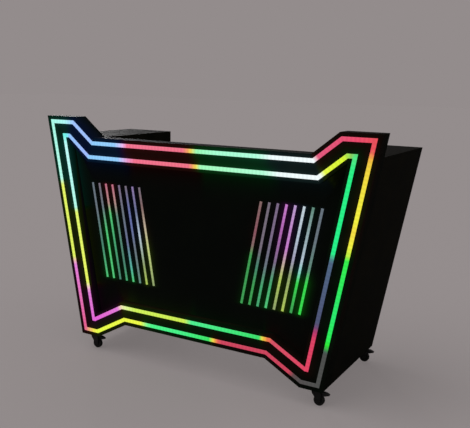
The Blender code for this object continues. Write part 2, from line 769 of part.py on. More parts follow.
def wheel(name):
    """A wheel turned from its profile, its axle along Y."""
    mesh = bpy.data.meshes.new(name)
    shape = bmesh.new()
    points = [shape.verts.new((r, 0, z)) for r, z in WHEEL_PROFILE]
    for start, end in zip(points, points[1:] + points[:1]):
        shape.edges.new((start, end))
    shape.to_mesh(mesh)
    shape.free()
    made = place(mesh, name, RUBBER, parts)
    turning = made.modifiers.new("turned", "SCREW")
    turning.angle = 2 * math.pi
    turning.steps = ROUND_STEPS
    turning.render_steps = ROUND_STEPS
    turning.use_merge_vertices = True
    turning.merge_threshold = 0.00001
    turning.use_smooth_shade = True
    made.rotation_euler = (math.pi / 2, 0, 0)
    return made


plate_low = CASTER_HEIGHT - PLATE_SIZE[2]
race_low = plate_low - RACE_THICK
disc_high = race_low - GAP
disc_low = disc_high - FORK_DISC_THICK
head_high = disc_low - GAP
casters = (
    ("front_left", (-CASTER_X, FRONT_CASTER_Y), None),
    ("front_right", (CASTER_X, FRONT_CASTER_Y), None),
    ("rear_left", (-CASTER_X, REAR_CASTER_Y), wings[-1]),
    ("rear_right", (CASTER_X, REAR_CASTER_Y), wings[1]),
)
for caster_name, (x, y), carrier in casters:
    swivel = axis_point(caster_name + "_swivel", (x, y, 0))
    plate = box(
        caster_name + "_caster_plate",
        (-PLATE_SIZE[0] / 2, PLATE_SIZE[0] / 2),
        (-PLATE_SIZE[1] / 2, PLATE_SIZE[1] / 2),
        (plate_low, CASTER_HEIGHT),
        STEEL,
    )
    rounded(plate, 0.0006, segments=1)
    race = rod(caster_name + "_race", RACE_R, race_low, plate_low + PLATE_SIZE[2] / 2, steps=ROUND_STEPS)
    join(plate, race)
    join(plate, rod(caster_name + "_kingpin", KINGPIN_R, head_high - KINGPIN_HEAD / 2, plate_low))
    head = rod(caster_name + "_kingpin_head", KINGPIN_HEAD_R, head_high - KINGPIN_HEAD, head_high)
    join(plate, head)
    for screw_x in (-SCREW_X, SCREW_X):
        for screw_y in (-SCREW_Y, SCREW_Y):
            screw = rod(
                f"{caster_name}_screw_{'ab'[screw_x > 0]}{'ab'[screw_y > 0]}",
                SCREW_HEAD_R,
                plate_low - SCREW_HEAD,
                plate_low + PLATE_SIZE[2] / 2,
                at=(screw_x, screw_y),
                steps=8,
            )
            join(plate, screw)
    plate.parent = swivel
    fork = rod(
        caster_name + "_caster_fork", FORK_DISC_R, disc_low, disc_high, finish=STEEL, steps=ROUND_STEPS
    )
    for cheek_name, low in (("front", -CHEEK_IN - CHEEK_THICK), ("rear", CHEEK_IN)):
        join(fork, slab(f"{caster_name}_{cheek_name}_cheek", [CHEEK], low, low + CHEEK_THICK))
    axle = rod(caster_name + "_axle", AXLE_R, -AXLE_HALF, AXLE_HALF, at=(TRAIL, WHEEL_R), along="Y")
    join(fork, axle)
    cut(fork, rod(caster_name + "_kingpin_bore", KINGPIN_R + GAP, 0.05, CASTER_HEIGHT))
    pivot_at = (BRAKE_X, BRAKE_Z)
    pivot_bore = rod(
        caster_name + "_pivot_bore", BRAKE_STUB_R + GAP, -0.03, 0.03, at=pivot_at, along="Y"
    )
    cut(fork, pivot_bore)
    fork.parent = swivel
    rolling = wheel(caster_name + "_caster_wheel")
    rolling.location = (TRAIL, 0, WHEEL_R)
    rolling.parent = swivel
    brake_pivot = axis_point(caster_name + "_brake_pivot", (BRAKE_X, 0, BRAKE_Z))
    brake_pivot.parent = swivel
    pedal_outline = [(px - BRAKE_X, pz - BRAKE_Z) for px, pz in PEDAL]
    pedal = slab(caster_name + "_caster_brake", [pedal_outline], -PEDAL_HALF, PEDAL_HALF, BLACK_STEEL)
    barrel_half = CHEEK_IN - GAP
    stub_half = CHEEK_IN + CHEEK_THICK
    join(pedal, rod(caster_name + "_barrel", BRAKE_BARREL_R, -barrel_half, barrel_half, along="Y"))
    join(pedal, rod(caster_name + "_stub", BRAKE_STUB_R, -stub_half, stub_half, along="Y"))
    pedal.parent = brake_pivot
    if carrier:
        hang(swivel, carrier)

# The whole stand is centred over the origin
middle_y = (WING_REAR - DIFFUSER_PROUD) / 2
stand = axis_point("stand", (0, -middle_y, 0))
for obj in parts.objects:
    if obj.parent is None and obj is not stand:
        obj.parent = stand
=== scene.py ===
# %% [markdown]
# A folding DJ stand: a black front panel with two light loops and sixteen light bars, two cabinets
# ("wings") that fold in behind it, a drop-leaf table and four casters. This lesson gives every
# solid its finish, puts finer pieces in the place of the lit ones, adds the small hardware, and
# sets up the light and the camera.

# %% The frame
import math

import bmesh
import bpy
from mathutils import Matrix, Vector


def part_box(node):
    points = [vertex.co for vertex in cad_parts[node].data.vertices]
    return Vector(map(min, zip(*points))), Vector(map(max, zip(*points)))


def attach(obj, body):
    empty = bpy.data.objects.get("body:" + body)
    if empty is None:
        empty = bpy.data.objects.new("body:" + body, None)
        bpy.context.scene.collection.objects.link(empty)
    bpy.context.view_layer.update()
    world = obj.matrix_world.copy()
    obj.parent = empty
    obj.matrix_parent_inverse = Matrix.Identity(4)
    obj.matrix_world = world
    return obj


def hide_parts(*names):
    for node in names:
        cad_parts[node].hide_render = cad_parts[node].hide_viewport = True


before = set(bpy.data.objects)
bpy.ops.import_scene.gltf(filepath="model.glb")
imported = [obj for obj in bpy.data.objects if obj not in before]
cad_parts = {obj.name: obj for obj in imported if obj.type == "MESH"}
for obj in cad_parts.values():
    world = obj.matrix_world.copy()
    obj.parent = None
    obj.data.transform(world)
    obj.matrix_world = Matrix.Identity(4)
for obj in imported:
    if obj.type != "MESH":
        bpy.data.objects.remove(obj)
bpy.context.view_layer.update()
scene = bpy.context.scene
scene.view_settings.view_transform = "Standard"

# %% [markdown]
# The camera stands to the right of the middle, above the panel's top edge, and looks slightly down.
# Its place was solved from the corners of the light loops, which are known in millimetres, so it is
# written here as a position and three directions. A guessed position would have to be corrected by
# eye after each look, and the loops would never lie exactly over those of the photograph.

# %% Camera
CAMERA_AT = (1.5656, -2.68081, 1.25934)
CAMERA_RIGHT = (0.86686746, 0.49813196, 0.02013365)
CAMERA_UP = (-0.10998700, 0.15170100, 0.98228798)
CAMERA_BACK = (0.48625475, -0.85372792, 0.18629269)
SENSOR = 36.0
LENS = 53.3382

camera = bpy.data.objects.new("camera", bpy.data.cameras.new("camera"))
camera.data.sensor_width = SENSOR
camera.data.sensor_fit = "HORIZONTAL"
camera.data.lens = LENS
turn = Matrix((CAMERA_RIGHT, CAMERA_UP, CAMERA_BACK)).transposed()
camera.matrix_world = Matrix.Translation(CAMERA_AT) @ turn.to_4x4()
scene.collection.objects.link(camera)
scene.camera = camera
print("camera at", CAMERA_AT, "lens", LENS)

# %% [markdown]
# Colours are written as the hex codes that a picture editor shows. Blender counts in linear light,
# so one function turns a code into linear numbers. A second one adds a shader node with its
# settings and its links, which keeps every material below to the nodes that it is made of, and a
# third starts a material: the values that are the same all over stand on the shader's own sockets.
# The others link outputs to a shader, put a finish on CAD solids, and turn a bmesh into an object,
# which every new piece needs.

# %% Colour, node and material helpers
def linear(code):
    """Linear RGBA of an sRGB hex colour."""
    parts = [int(code[i : i + 2], 16) / 255 for i in (1, 3, 5)]
    return [p / 12.92 if p <= 0.04045 else ((p + 0.055) / 1.055) ** 2.4 for p in parts] + [1.0]


def add(tree, kind, settings=None, inputs=None, stops=()):
    """Adds a node. An input is a value, or another node's socket that is linked to it.

    A colour ramp also has stops, each a position and a colour's code.
    """
    made = tree.nodes.new("ShaderNode" + kind)
    for name, value in (settings or {}).items():
        setattr(made, name, value)
    for name, value in (inputs or {}).items():
        if isinstance(value, bpy.types.NodeSocket):
            tree.links.new(value, made.inputs[name])
        else:
            made.inputs[name].default_value = value
    for number, (position, code) in enumerate(stops):
        made.color_ramp.elements[number].position = position
        made.color_ramp.elements[number].color = linear(code)
    return made


def start(name, **sockets):
    """A new material: its tree, its shader, and the object coordinates that its patterns read."""
    made = bpy.data.materials.new(name)
    made.use_nodes = True
    tree = made.node_tree
    shader = tree.nodes["Principled BSDF"]
    for socket, value in sockets.items():
        shader.inputs[socket.replace("_", " ")].default_value = value
    place = add(tree, "TexCoord").outputs["Object"]
    return made, tree, shader, place


def plug(tree, shader, sockets):
    """Links outputs to the shader's inputs."""
    for name, output in sockets.items():
        tree.links.new(output, shader.inputs[name])


def dress(finish, *names):
    """Puts a finish on CAD solids through their material slots."""
    for name in names:
        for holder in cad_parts[name].material_slots:
            holder.link = "OBJECT"
            holder.material = finish
    print(finish.name, "on", len(names), "solids")


def as_object(shape, name, finish):
    """Turns a finished bmesh into an object with one finish, at the origin."""
    mesh = bpy.data.meshes.new(name)
    shape.to_mesh(mesh)
    shape.free()
    mesh.materials.append(finish)
    made = bpy.data.objects.new(name, mesh)
    scene.collection.objects.link(made)
    return made


SIDES = (("left", -1), ("right", 1))
print("black board in linear light:", [round(c, 4) for c in linear("#0C0C0D")])

# %% [markdown]
# The object stands in front of an even, warm grey. The floor is a plain sheet of that grey, and the
# world behind it has the same colour for the camera and for reflections, so that no horizon shows.
# What lights the object is a different, whiter world and one very soft lamp from the upper left. A
# lamp with parallel rays is used because it lights a large floor evenly up to the horizon. Together
# they light a flat white sheet to just white, so that a colour renders about as it is written. The
# camera sees half of the floor's colour unshaded, which leaves a light, soft shadow under the
# stand. A third, weak light stands low behind the left side, as photographers light black things:
# nearly all that it draws is a reflection on the tops.

# %% Floor, world and lamps
BACKDROP = "#938C8C"
SKY_LEVEL = 0.6
LAMP_LEVEL = 0.4
SHADOW_KEPT = 0.5
LAMP_FROM = Vector((-0.55, -0.45, 1.0)).normalized()
LAMP_SOFTNESS = math.radians(70)
RIM_FROM = Vector((-0.701, 0.713, 0.16)).normalized()
RIM_LEVEL = 0.5
RIM_SOFTNESS = math.radians(5)
FLOOR_HALF = 40.0

world = bpy.data.worlds.new("studio")
scene.world = world
world.use_nodes = True
sky = world.node_tree
rays = add(sky, "LightPath").outputs
seen = add(sky, "Math", {"operation": "MAXIMUM"}, {0: rays["Is Camera Ray"],
                                                   1: rays["Is Glossy Ray"]})
seen = add(sky, "Math", {"operation": "MAXIMUM"}, {0: seen.outputs[0],
                                                   1: rays["Is Transmission Ray"]})
lighting = add(sky, "Background", None, {"Color": linear("#FFFFFF"), "Strength": SKY_LEVEL})
backdrop = add(sky, "Background", None, {"Color": linear(BACKDROP), "Strength": 1.0})
both = add(sky, "MixShader", None, {0: seen.outputs[0], 1: lighting.outputs[0],
                                    2: backdrop.outputs[0]})
sky.links.new(both.outputs[0], sky.nodes["World Output"].inputs["Surface"])


def sun(name, direction, energy, softness):
    """A lamp with parallel rays that come from a direction."""
    made = bpy.data.objects.new(name, bpy.data.lights.new(name, "SUN"))
    made.data.energy = energy
    made.data.angle = softness
    made.rotation_euler = direction.to_track_quat("Z", "Y").to_euler()
    scene.collection.objects.link(made)


sun("soft_lamp", LAMP_FROM, LAMP_LEVEL * math.pi / LAMP_FROM.z, LAMP_SOFTNESS)
sun("rim_lamp", RIM_FROM, RIM_LEVEL, RIM_SOFTNESS)

floor_paint, tree, shader, place = start("matt_studio_floor", Roughness=0.9,
                                         Specular_IOR_Level=0.0, Base_Color=linear(BACKDROP))
even = add(tree, "Emission", None, {"Color": linear(BACKDROP), "Strength": 1.0})
eye = add(tree, "LightPath").outputs["Is Camera Ray"]
share = add(tree, "Math", {"operation": "MULTIPLY"}, {0: eye, 1: 1 - SHADOW_KEPT})
mixed = add(tree, "MixShader", None, {0: share.outputs[0], 1: shader.outputs[0],
                                      2: even.outputs[0]})
tree.links.new(mixed.outputs[0], tree.nodes["Material Output"].inputs["Surface"])
shape = bmesh.new()
bmesh.ops.create_grid(shape, x_segments=2, y_segments=2, size=FLOOR_HALF)
floor = as_object(shape, "floor", floor_paint)
print("floor and backdrop", BACKDROP)

# %% [markdown]
# The boards of the panel and the wings are chipboard with a black melamine face: paper soaked in
# resin and pressed on with a fine pearl texture. Seen from some metres it is a deep, matt black.
# The tops are smoother than the rest, from wiping and from what is set down on them, so that they
# catch a low light. The geometry's normal and the height tell them apart, and they get a slightly
# darker, greyer colour than the other faces. Their sheen fades towards the right end, as it does in
# the photograph, and so does that colour. The pearls are 0.8 mm wide, too fine for this picture, so
# the bump is drawn at 3 mm. Rubbed patches, some 90 mm wide, change colour and sheen a little.

# %% Black melamine board
# The upward share of a level face's normal, then metres to the right and above the floor
FLAT_FROM, FLAT_TO = 0.8, 0.95
FADE_FROM, FADE_TO = 0.5, 0.95
TOPS_FROM, TOPS_TO = 0.7, 0.9

board, tree, shader, place = start("melamine_faced_board", IOR=1.5, Specular_IOR_Level=0.02)
pearl = add(tree, "TexNoise", None, {"Vector": place, "Scale": 1 / 0.003, "Detail": 2.0})
rubbed = add(tree, "TexNoise", None, {"Vector": place, "Scale": 1 / 0.09, "Detail": 5.0,
                                      "Roughness": 0.6}).outputs["Fac"]
normal = add(tree, "NewGeometry").outputs["True Normal"]
facing = add(tree, "SeparateXYZ", None, {0: normal}).outputs["Z"]
where = add(tree, "SeparateXYZ", None, {0: place}).outputs
level = add(tree, "MapRange", None, {"Value": facing, "From Min": FLAT_FROM,
                                     "From Max": FLAT_TO})
faded = add(tree, "MapRange", None, {"Value": where["X"], "From Min": FADE_FROM,
                                     "From Max": FADE_TO, "To Min": 1.0, "To Max": 0.0})
high = add(tree, "MapRange", None, {"Value": where["Z"], "From Min": TOPS_FROM,
                                    "From Max": TOPS_TO})
on_top = add(tree, "Math", {"operation": "MULTIPLY"}, {0: level.outputs["Result"],
                                                       1: faded.outputs["Result"]})
on_top = add(tree, "Math", {"operation": "MULTIPLY"}, {0: on_top.outputs[0],
                                                       1: high.outputs["Result"]}).outputs[0]
tone = add(tree, "ValToRGB", None, {"Fac": rubbed}, ((0.35, "#090A06"), (0.75, "#13120C")))
# The tops' colour: slightly darker and greyer, fading towards the right end with on_top
tops_tone = add(tree, "ValToRGB", None, {"Fac": rubbed}, ((0.35, "#080808"), (0.7, "#100F0E")))
surface = add(tree, "Mix", {"data_type": "RGBA"}, {"Factor": on_top, 6: tone.outputs["Color"],
                                                   7: tops_tone.outputs["Color"]})
worn = {"Value": rubbed, "From Min": 0.3, "From Max": 0.7}
matt = add(tree, "MapRange", None, {**worn, "To Min": 0.85, "To Max": 0.97})
wiped = add(tree, "MapRange", None, {**worn, "To Min": 0.60, "To Max": 0.70})
sheen = add(tree, "Mix", {"data_type": "FLOAT"}, {"Factor": on_top, 2: matt.outputs["Result"],
                                                  3: wiped.outputs["Result"]})
bump = add(tree, "Bump", None, {"Height": pearl.outputs["Fac"], "Strength": 0.2,
                                "Distance": 0.0002})
plug(tree, shader, {"Base Color": surface.outputs[2], "Roughness": sheen.outputs[0],
                    "Normal": bump.outputs["Normal"]})
BOARD_TONE = tone.name

WING_BOARDS = ("side", "inner", "top", "floor", "front", "shelf")
dress(board, "front_frame", "table_board", "hinge_post_left", "hinge_post_right",
      *[f"{side}_wing_{part}" for side, _ in SIDES for part in WING_BOARDS])

# %% [markdown]
# The field panel, through which the bars come, and the rear cover are thinner fibreboard, sprayed
# matt black. Spray leaves a fine orange peel, a few millimetres wide, and no reflections, which is
# why the field looks deeper than the panel around it. It gets as little gloss as the melamine and a
# darker colour.

# %% Matt sprayed fibreboard
field_paint, tree, shader, place = start("sprayed_fibreboard", IOR=1.5, Specular_IOR_Level=0.03)
peel = add(tree, "TexNoise", None, {"Vector": place, "Scale": 1 / 0.005, "Detail": 3.0})
haze = add(tree, "TexNoise", None, {"Vector": place, "Scale": 1 / 0.15, "Detail": 4.0})
tone = add(tree, "ValToRGB", None, {"Fac": haze.outputs["Fac"]},
           ((0, "#040604"), (1, "#080B07")))
dull = add(tree, "MapRange", None, {"Value": peel.outputs["Fac"], "To Min": 0.75, "To Max": 0.9})
bump = add(tree, "Bump", None, {"Height": peel.outputs["Fac"], "Strength": 0.3,
                                "Distance": 0.0003})
plug(tree, shader, {"Base Color": tone.outputs["Color"], "Roughness": dull.outputs["Result"],
                    "Normal": bump.outputs["Normal"]})
dress(field_paint, "field_panel", "rear_cover")

# %% [markdown]
# The hinges and their pins are steel with a bright zinc coat. Zinc grows in small flakes and turns
# cloudy, so the metal has soft spots of lighter and darker grey, a centimetre across, and fine
# lengthwise lines from the rolling of the strip, which are noise stretched along the hinge.

# %% Zinc-plated steel
zinc, tree, shader, place = start("zinc_plated_steel", Metallic=1.0)
flakes = add(tree, "TexVoronoi", None, {"Vector": place, "Scale": 1 / 0.006})
cloud = add(tree, "TexNoise", None, {"Vector": place, "Scale": 1 / 0.02, "Detail": 4.0})
spots = add(tree, "Mix", {"data_type": "FLOAT"}, {"Factor": 0.35, 2: cloud.outputs["Fac"],
                                                  3: flakes.outputs["Distance"]}).outputs[0]
tone = add(tree, "ValToRGB", None, {"Fac": spots}, ((0.25, "#9A9EA3"), (0.7, "#C6C8CA")))
rough = add(tree, "MapRange", None, {"Value": spots, "To Min": 0.28, "To Max": 0.46})
stretched = add(tree, "Mapping", None, {"Vector": place, "Scale": (1.0, 1.0, 0.03)})
lines = add(tree, "TexNoise", None, {"Vector": stretched.outputs[0], "Scale": 1 / 0.0015})
bump = add(tree, "Bump", None, {"Height": lines.outputs["Fac"], "Strength": 0.15,
                                "Distance": 0.0001})
plug(tree, shader, {"Base Color": tone.outputs["Color"], "Roughness": rough.outputs["Result"],
                    "Normal": bump.outputs["Normal"]})
HINGES = ("left_hinge", "right_hinge", "table_hinge")
HINGE_PARTS = ("fixed_leaf", "moving_leaf", "pin")
dress(zinc, *[f"{hinge}_{part}" for hinge in HINGES for part in HINGE_PARTS])

# %% [markdown]
# The table brackets are black powder coat: plastic dust baked on steel. It flows into a skin with
# low waves a few millimetres wide, and looks softer than paint, with a broad dull highlight.

# %% Black powder coat
powder, tree, shader, place = start("black_powder_coat", IOR=1.5, Specular_IOR_Level=0.4)
waves = add(tree, "TexNoise", None, {"Vector": place, "Scale": 1 / 0.0025, "Detail": 1.0})
patches = add(tree, "TexNoise", None, {"Vector": place, "Scale": 1 / 0.03,
                                       "Detail": 3.0}).outputs["Fac"]
tone = add(tree, "ValToRGB", None, {"Fac": patches}, ((0, "#121213"), (1, "#1D1D1F")))
rough = add(tree, "MapRange", None, {"Value": patches, "To Min": 0.38, "To Max": 0.52})
bump = add(tree, "Bump", None, {"Height": waves.outputs["Fac"], "Strength": 0.35,
                                "Distance": 0.0002})
plug(tree, shader, {"Base Color": tone.outputs["Color"], "Roughness": rough.outputs["Result"],
                    "Normal": bump.outputs["Normal"]})
dress(powder, *[f"{side}_bracket_{part}" for side, _ in SIDES for part in ("arm", "plate")])

# %% [markdown]
# The casters are pressed steel with a thin black electrocoat, so the metal still glints through at
# the worn places. A metal darkened by its coat gives that: some metallic share, low colour, and
# brighter scuffs where a noise is highest.

# %% Black electrocoated steel
ecoat, tree, shader, place = start("black_electrocoated_steel", Metallic=0.15,
                                   Specular_IOR_Level=0.2)
scuffs = add(tree, "TexNoise", None, {"Vector": place, "Scale": 1 / 0.004, "Detail": 8.0,
                                      "Roughness": 0.7}).outputs["Fac"]
tone = add(tree, "ValToRGB", None, {"Fac": scuffs}, ((0.55, "#0A0A0A"), (0.8, "#2C2C2E")))
rough = add(tree, "MapRange", None, {"Value": scuffs, "To Min": 0.5, "To Max": 0.32})
bump = add(tree, "Bump", None, {"Height": scuffs, "Strength": 0.2, "Distance": 0.0002})
plug(tree, shader, {"Base Color": tone.outputs["Color"], "Roughness": rough.outputs["Result"],
                    "Normal": bump.outputs["Normal"]})
CASTERS = ("front_left", "front_right", "rear_left", "rear_right")
dress(ecoat, *[f"{caster}_caster_{part}" for caster in CASTERS for part in ("plate", "fork")])

# %% [markdown]
# The wheels are moulded rubber. Rubber has almost no gloss; dust from the floor sits in its fine
# pores and greys the tread unevenly, in spots of a few millimetres.

# %% Wheel rubber
rubber, tree, shader, place = start("moulded_rubber", IOR=1.52, Specular_IOR_Level=0.12)
dust = add(tree, "TexNoise", None, {"Vector": place, "Scale": 1 / 0.005, "Detail": 6.0,
                                    "Roughness": 0.65}).outputs["Fac"]
tone = add(tree, "ValToRGB", None, {"Fac": dust}, ((0.4, "#0A0A0A"), (0.8, "#22211F")))
rough = add(tree, "MapRange", None, {"Value": dust, "To Min": 0.7, "To Max": 0.9})
bump = add(tree, "Bump", None, {"Height": dust, "Strength": 0.4, "Distance": 0.0003})
plug(tree, shader, {"Base Color": tone.outputs["Color"], "Roughness": rough.outputs["Result"],
                    "Normal": bump.outputs["Normal"]})
dress(rubber, *[f"{caster}_caster_wheel" for caster in CASTERS])

# %% [markdown]
# Brake pedals, controller case and power inlet are moulded black plastic with an eroded mould
# texture: grains of 0.3 mm, drawn here at 1.2 mm, that scatter the highlight.

# %% Moulded black plastic
plastic, tree, shader, place = start("moulded_black_plastic", IOR=1.53, Specular_IOR_Level=0.2)
grain = add(tree, "TexNoise", None, {"Vector": place, "Scale": 1 / 0.0012,
                                     "Detail": 2.0}).outputs["Fac"]
flow = add(tree, "TexNoise", None, {"Vector": place, "Scale": 1 / 0.025, "Detail": 2.0})
tone = add(tree, "ValToRGB", None, {"Fac": flow.outputs["Fac"]},
           ((0, "#0D0D0E"), (1, "#171718")))
rough = add(tree, "MapRange", None, {"Value": grain, "To Min": 0.45, "To Max": 0.62})
bump = add(tree, "Bump", None, {"Height": grain, "Strength": 0.3, "Distance": 0.0001})
plug(tree, shader, {"Base Color": tone.outputs["Color"], "Roughness": rough.outputs["Result"],
                    "Normal": bump.outputs["Normal"]})
dress(plastic, "light_controller", "power_inlet",
      *[f"{caster}_caster_brake" for caster in CASTERS])

# %% [markdown]
# Inside the panel lie parts that only an opened stand shows: the galvanised case of the power
# supply with its large zinc flowers, the glass-fibre boards behind the bars with their solder
# lacquer, and the white LED tapes with a copper pad every few millimetres.

# %% Galvanised case, circuit board and LED tape
galvanised, tree, shader, place = start("galvanised_sheet", Metallic=0.9, Roughness=0.45)
flowers = add(tree, "TexVoronoi", None, {"Vector": place, "Scale": 1 / 0.008})
tone = add(tree, "ValToRGB", None, {"Fac": flowers.outputs["Color"]},
           ((0, "#8E9296"), (1, "#BFC2C4")))
plug(tree, shader, {"Base Color": tone.outputs["Color"]})
dress(galvanised, "power_supply")

lacquer, tree, shader, place = start("solder_lacquer_board", Roughness=0.35, IOR=1.5)
tracks = add(tree, "TexBrick", {"offset": 0.5}, {
    "Vector": place, "Scale": 1 / 0.02, "Mortar Size": 0.03, "Color1": linear("#1B3A28"),
    "Color2": linear("#21452F"), "Mortar": linear("#2F5A3E"),
})
bump = add(tree, "Bump", None, {"Height": tracks.outputs["Fac"], "Strength": 0.3,
                                "Distance": 0.0001})
plug(tree, shader, {"Base Color": tracks.outputs["Color"], "Normal": bump.outputs["Normal"]})
dress(lacquer, "left_bar_led_board", "right_bar_led_board")

tape, tree, shader, place = start("white_led_tape", Roughness=0.4, IOR=1.5)
pads = add(tree, "TexVoronoi", {"distance": "CHEBYCHEV"}, {"Vector": place,
                                                           "Scale": 1 / 0.0083})
tone = add(tree, "ValToRGB", None, {"Fac": pads.outputs["Distance"]},
           ((0, "#E8D9A0"), (0.25, "#DEDED8")))
tone.color_ramp.interpolation = "CONSTANT"
plug(tree, shader, {"Base Color": tone.outputs["Color"]})
dress(tape, "outer_led_tape", "inner_led_tape")
print("materials:", len(bpy.data.materials))

# %% [markdown]
# The light loops are satin acrylic strips over LED tape, 17 mm wide, set in routed channels so that
# they stand 1 mm proud. The colour changes along each loop: long even runs, and between two runs a
# blend some 30 mm long, which is how a running light looks when it is frozen. The strip is drawn
# as a flat outline, inset by its width, cut into short lengths, extruded and rounded. Each point of
# it then carries its own light as an attribute, because a colour ramp has room for 32 colours only.

# %% The centre lines of the loops, right half: metres from the middle and above the feet
PANEL_FACE_Y = -0.29575
FEET_Z = 0.0717
OUTER_CORNERS = ((0.5363, 0.9057), (0.6462, 0.9933), (0.7700, 0.9933),
                 (0.5939, 0.0250), (0.5218, 0.0250), (0.3634, 0.1127))
INNER_CORNERS = ((0.5564, 0.8428), (0.6691, 0.9326), (0.6996, 0.9326),
                 (0.5442, 0.0779), (0.3789, 0.1694))


def closed_line(right_half):
    """Both halves, clockwise from the left ear's outer corner, seen from the front."""
    ear = 2
    top = [(-x, z) for x, z in reversed(right_half[: ear + 1])]
    bottom = [(-x, z) for x, z in reversed(right_half[ear + 1 :])]
    return [Vector((x, z + FEET_Z)) for x, z in top + list(right_half) + bottom]


def moved_out(line, distance):
    """A closed line moved outwards, with its corners kept sharp."""
    moved = []
    for before, corner, after in zip(line[-1:] + line[:-1], line, line[1:] + line[:1]):
        a, b = (corner - before).normalized(), (after - corner).normalized()
        out_a, out_b = Vector((-a.y, a.x)), Vector((-b.y, b.x))
        moved.append(corner + (out_a + out_b) * distance / (1 + out_a.dot(out_b)))
    return moved


OUTER_LINE = closed_line(OUTER_CORNERS)
INNER_LINE = closed_line(INNER_CORNERS)
print("corners:", len(OUTER_LINE), len(INNER_LINE))

# %% [markdown]
# A place on a loop is written as a corner number and a fraction of the way to the next corner: 5.25
# is a quarter of the way down the right side. The colours were judged run by run. Where two
# places follow each other with the same colour, the run is even.

# %% The colours of the two loops
OUTER_RUNS = (
    (0.00, "#A6FBE6"), (0.62, "#ADF8F6"), (1.05, "#A0C2FF"), (1.90, "#9CBEFA"), (2.02, "#8FCFFF"),
    (2.12, "#93CDFF"), (2.145, "#C9C9FF"), (2.165, "#F1B4EC"), (2.185, "#F2718F"),
    (2.455, "#F07088"), (2.478, "#F5A060"), (2.494, "#EEDD55"), (2.518, "#98FBB4"),
    (2.60, "#A4FFD2"), (2.78, "#AFFFDC"), (2.838, "#EFFDFF"), (3.02, "#F4FDFF"), (3.17, "#E2567C"),
    (4.50, "#E84668"), (5.045, "#E84C56"), (5.07, "#F0B83A"), (5.102, "#F0D23A"),
    (5.308, "#F1F03A"), (5.35, "#F3DA3C"), (5.407, "#F0EE3C"), (5.448, "#B4F03E"),
    (5.462, "#2BEE46"), (5.70, "#20E86C"), (5.798, "#22F150"), (5.818, "#22E82C"),
    (5.848, "#40594E"), (5.86, "#484A48"), (7.05, "#4E4A4A"), (7.215, "#5A4446"), (7.34, "#C83E56"),
    (8.29, "#CC405A"), (8.318, "#EE6A4C"), (8.338, "#F5C244"), (8.352, "#DFE648"),
    (8.368, "#34E660"), (8.55, "#40F086"), (8.787, "#45F587"), (8.822, "#78FA92"),
    (8.871, "#EEFA40"), (10.00, "#E6FC46"), (10.34, "#F4E44C"), (11.015, "#E45C8C"),
    (11.315, "#E67EDC"), (11.334, "#F0B8B4"), (11.356, "#DEF25C"), (11.70, "#E4F664"),
    (11.73, "#B4FDEA"), (12.00, "#A6FBE6"),
)
INNER_RUNS = (
    (0.00, "#68F2E2"), (0.60, "#74F0F8"), (1.05, "#93C4FF"), (1.90, "#A0B9FF"), (2.021, "#8BCDFF"),
    (2.149, "#92CFFF"), (2.169, "#C4C4FC"), (2.199, "#EB98CC"), (2.233, "#F1708C"),
    (2.484, "#F07086"), (2.502, "#F5A45E"), (2.518, "#EEE052"), (2.535, "#A0FCBA"),
    (2.793, "#B0FFD6"), (2.858, "#F0FEFF"), (3.10, "#F4FEFF"), (3.247, "#E8FC4A"),
    (3.40, "#E2F83A"), (3.88, "#D8F62A"), (4.00, "#AEE84A"), (4.60, "#7CCC5E"), (4.98, "#5CE07C"),
    (5.06, "#1EF184"), (5.432, "#18F088"), (5.454, "#46988A"), (5.472, "#4A6280"),
    (5.76, "#4A5072"), (5.784, "#644470"), (5.811, "#BA3068"), (5.845, "#DA3C60"),
    (6.00, "#E04060"), (6.95, "#D44E62"), (7.015, "#F27844"), (7.043, "#F0DA3A"),
    (7.061, "#34E068"), (7.50, "#48F090"), (7.545, "#CEEE4E"), (7.90, "#D0F258"),
    (7.967, "#E2F89A"), (8.02, "#F6D2BE"), (8.131, "#E47ADC"), (8.50, "#E66CD2"),
    (8.90, "#E45ED8"), (9.16, "#E078D4"), (9.185, "#FAD6D0"), (9.204, "#E8F660"),
    (9.59, "#E4F86A"), (9.618, "#B0FBEA"), (9.95, "#C0FFFC"), (10.00, "#68F2E2"),
)


def colour_at(runs, place, names=None):
    """The linear colour at a place, blended between the two entries around it."""
    for (before, colour_a), (after, colour_b) in zip(runs, runs[1:]):
        if place <= after:
            if names:
                colour_a, colour_b = names[colour_a], names[colour_b]
            share = (place - before) / (after - before)
            return Vector(linear(colour_a)).lerp(Vector(linear(colour_b)), share)
    raise ValueError(f"the runs end before {place}")


CLEARLY_NEARER = 1e-9


def place_on(line, point):
    """The nearest place of a line: how far off, corner number with fraction, metres along."""
    best = None
    walked = 0.0
    for number, (a, b) in enumerate(zip(line, line[1:] + line[:1])):
        length = (b - a).length
        share = min(max((point - a).dot(b - a) / length**2, 0.0), 1.0)
        off = (a.lerp(b, share) - point).length
        if best is None or off < best[0] - CLEARLY_NEARER:
            best = (off, number + share, walked + share * length)
        walked += length
    return best


print("entries:", len(OUTER_RUNS), len(INNER_RUNS))

# %% [markdown]
# Satin acrylic over LEDs: the strip glows in the colour of the light under it and shows a faint
# brighter spot over each LED, 16.7 mm apart on a tape with 60 LEDs a metre. Unlit it is smoke grey.
# The light is an emission of strength 1, so that a run renders as its colour is written; the
# acrylic itself is dark, because a pale one would wash the colours out.

# %% Lit satin acrylic
LED_PITCH = 1 / 60
BETWEEN_LEDS, OVER_LED = 0.92, 1.04

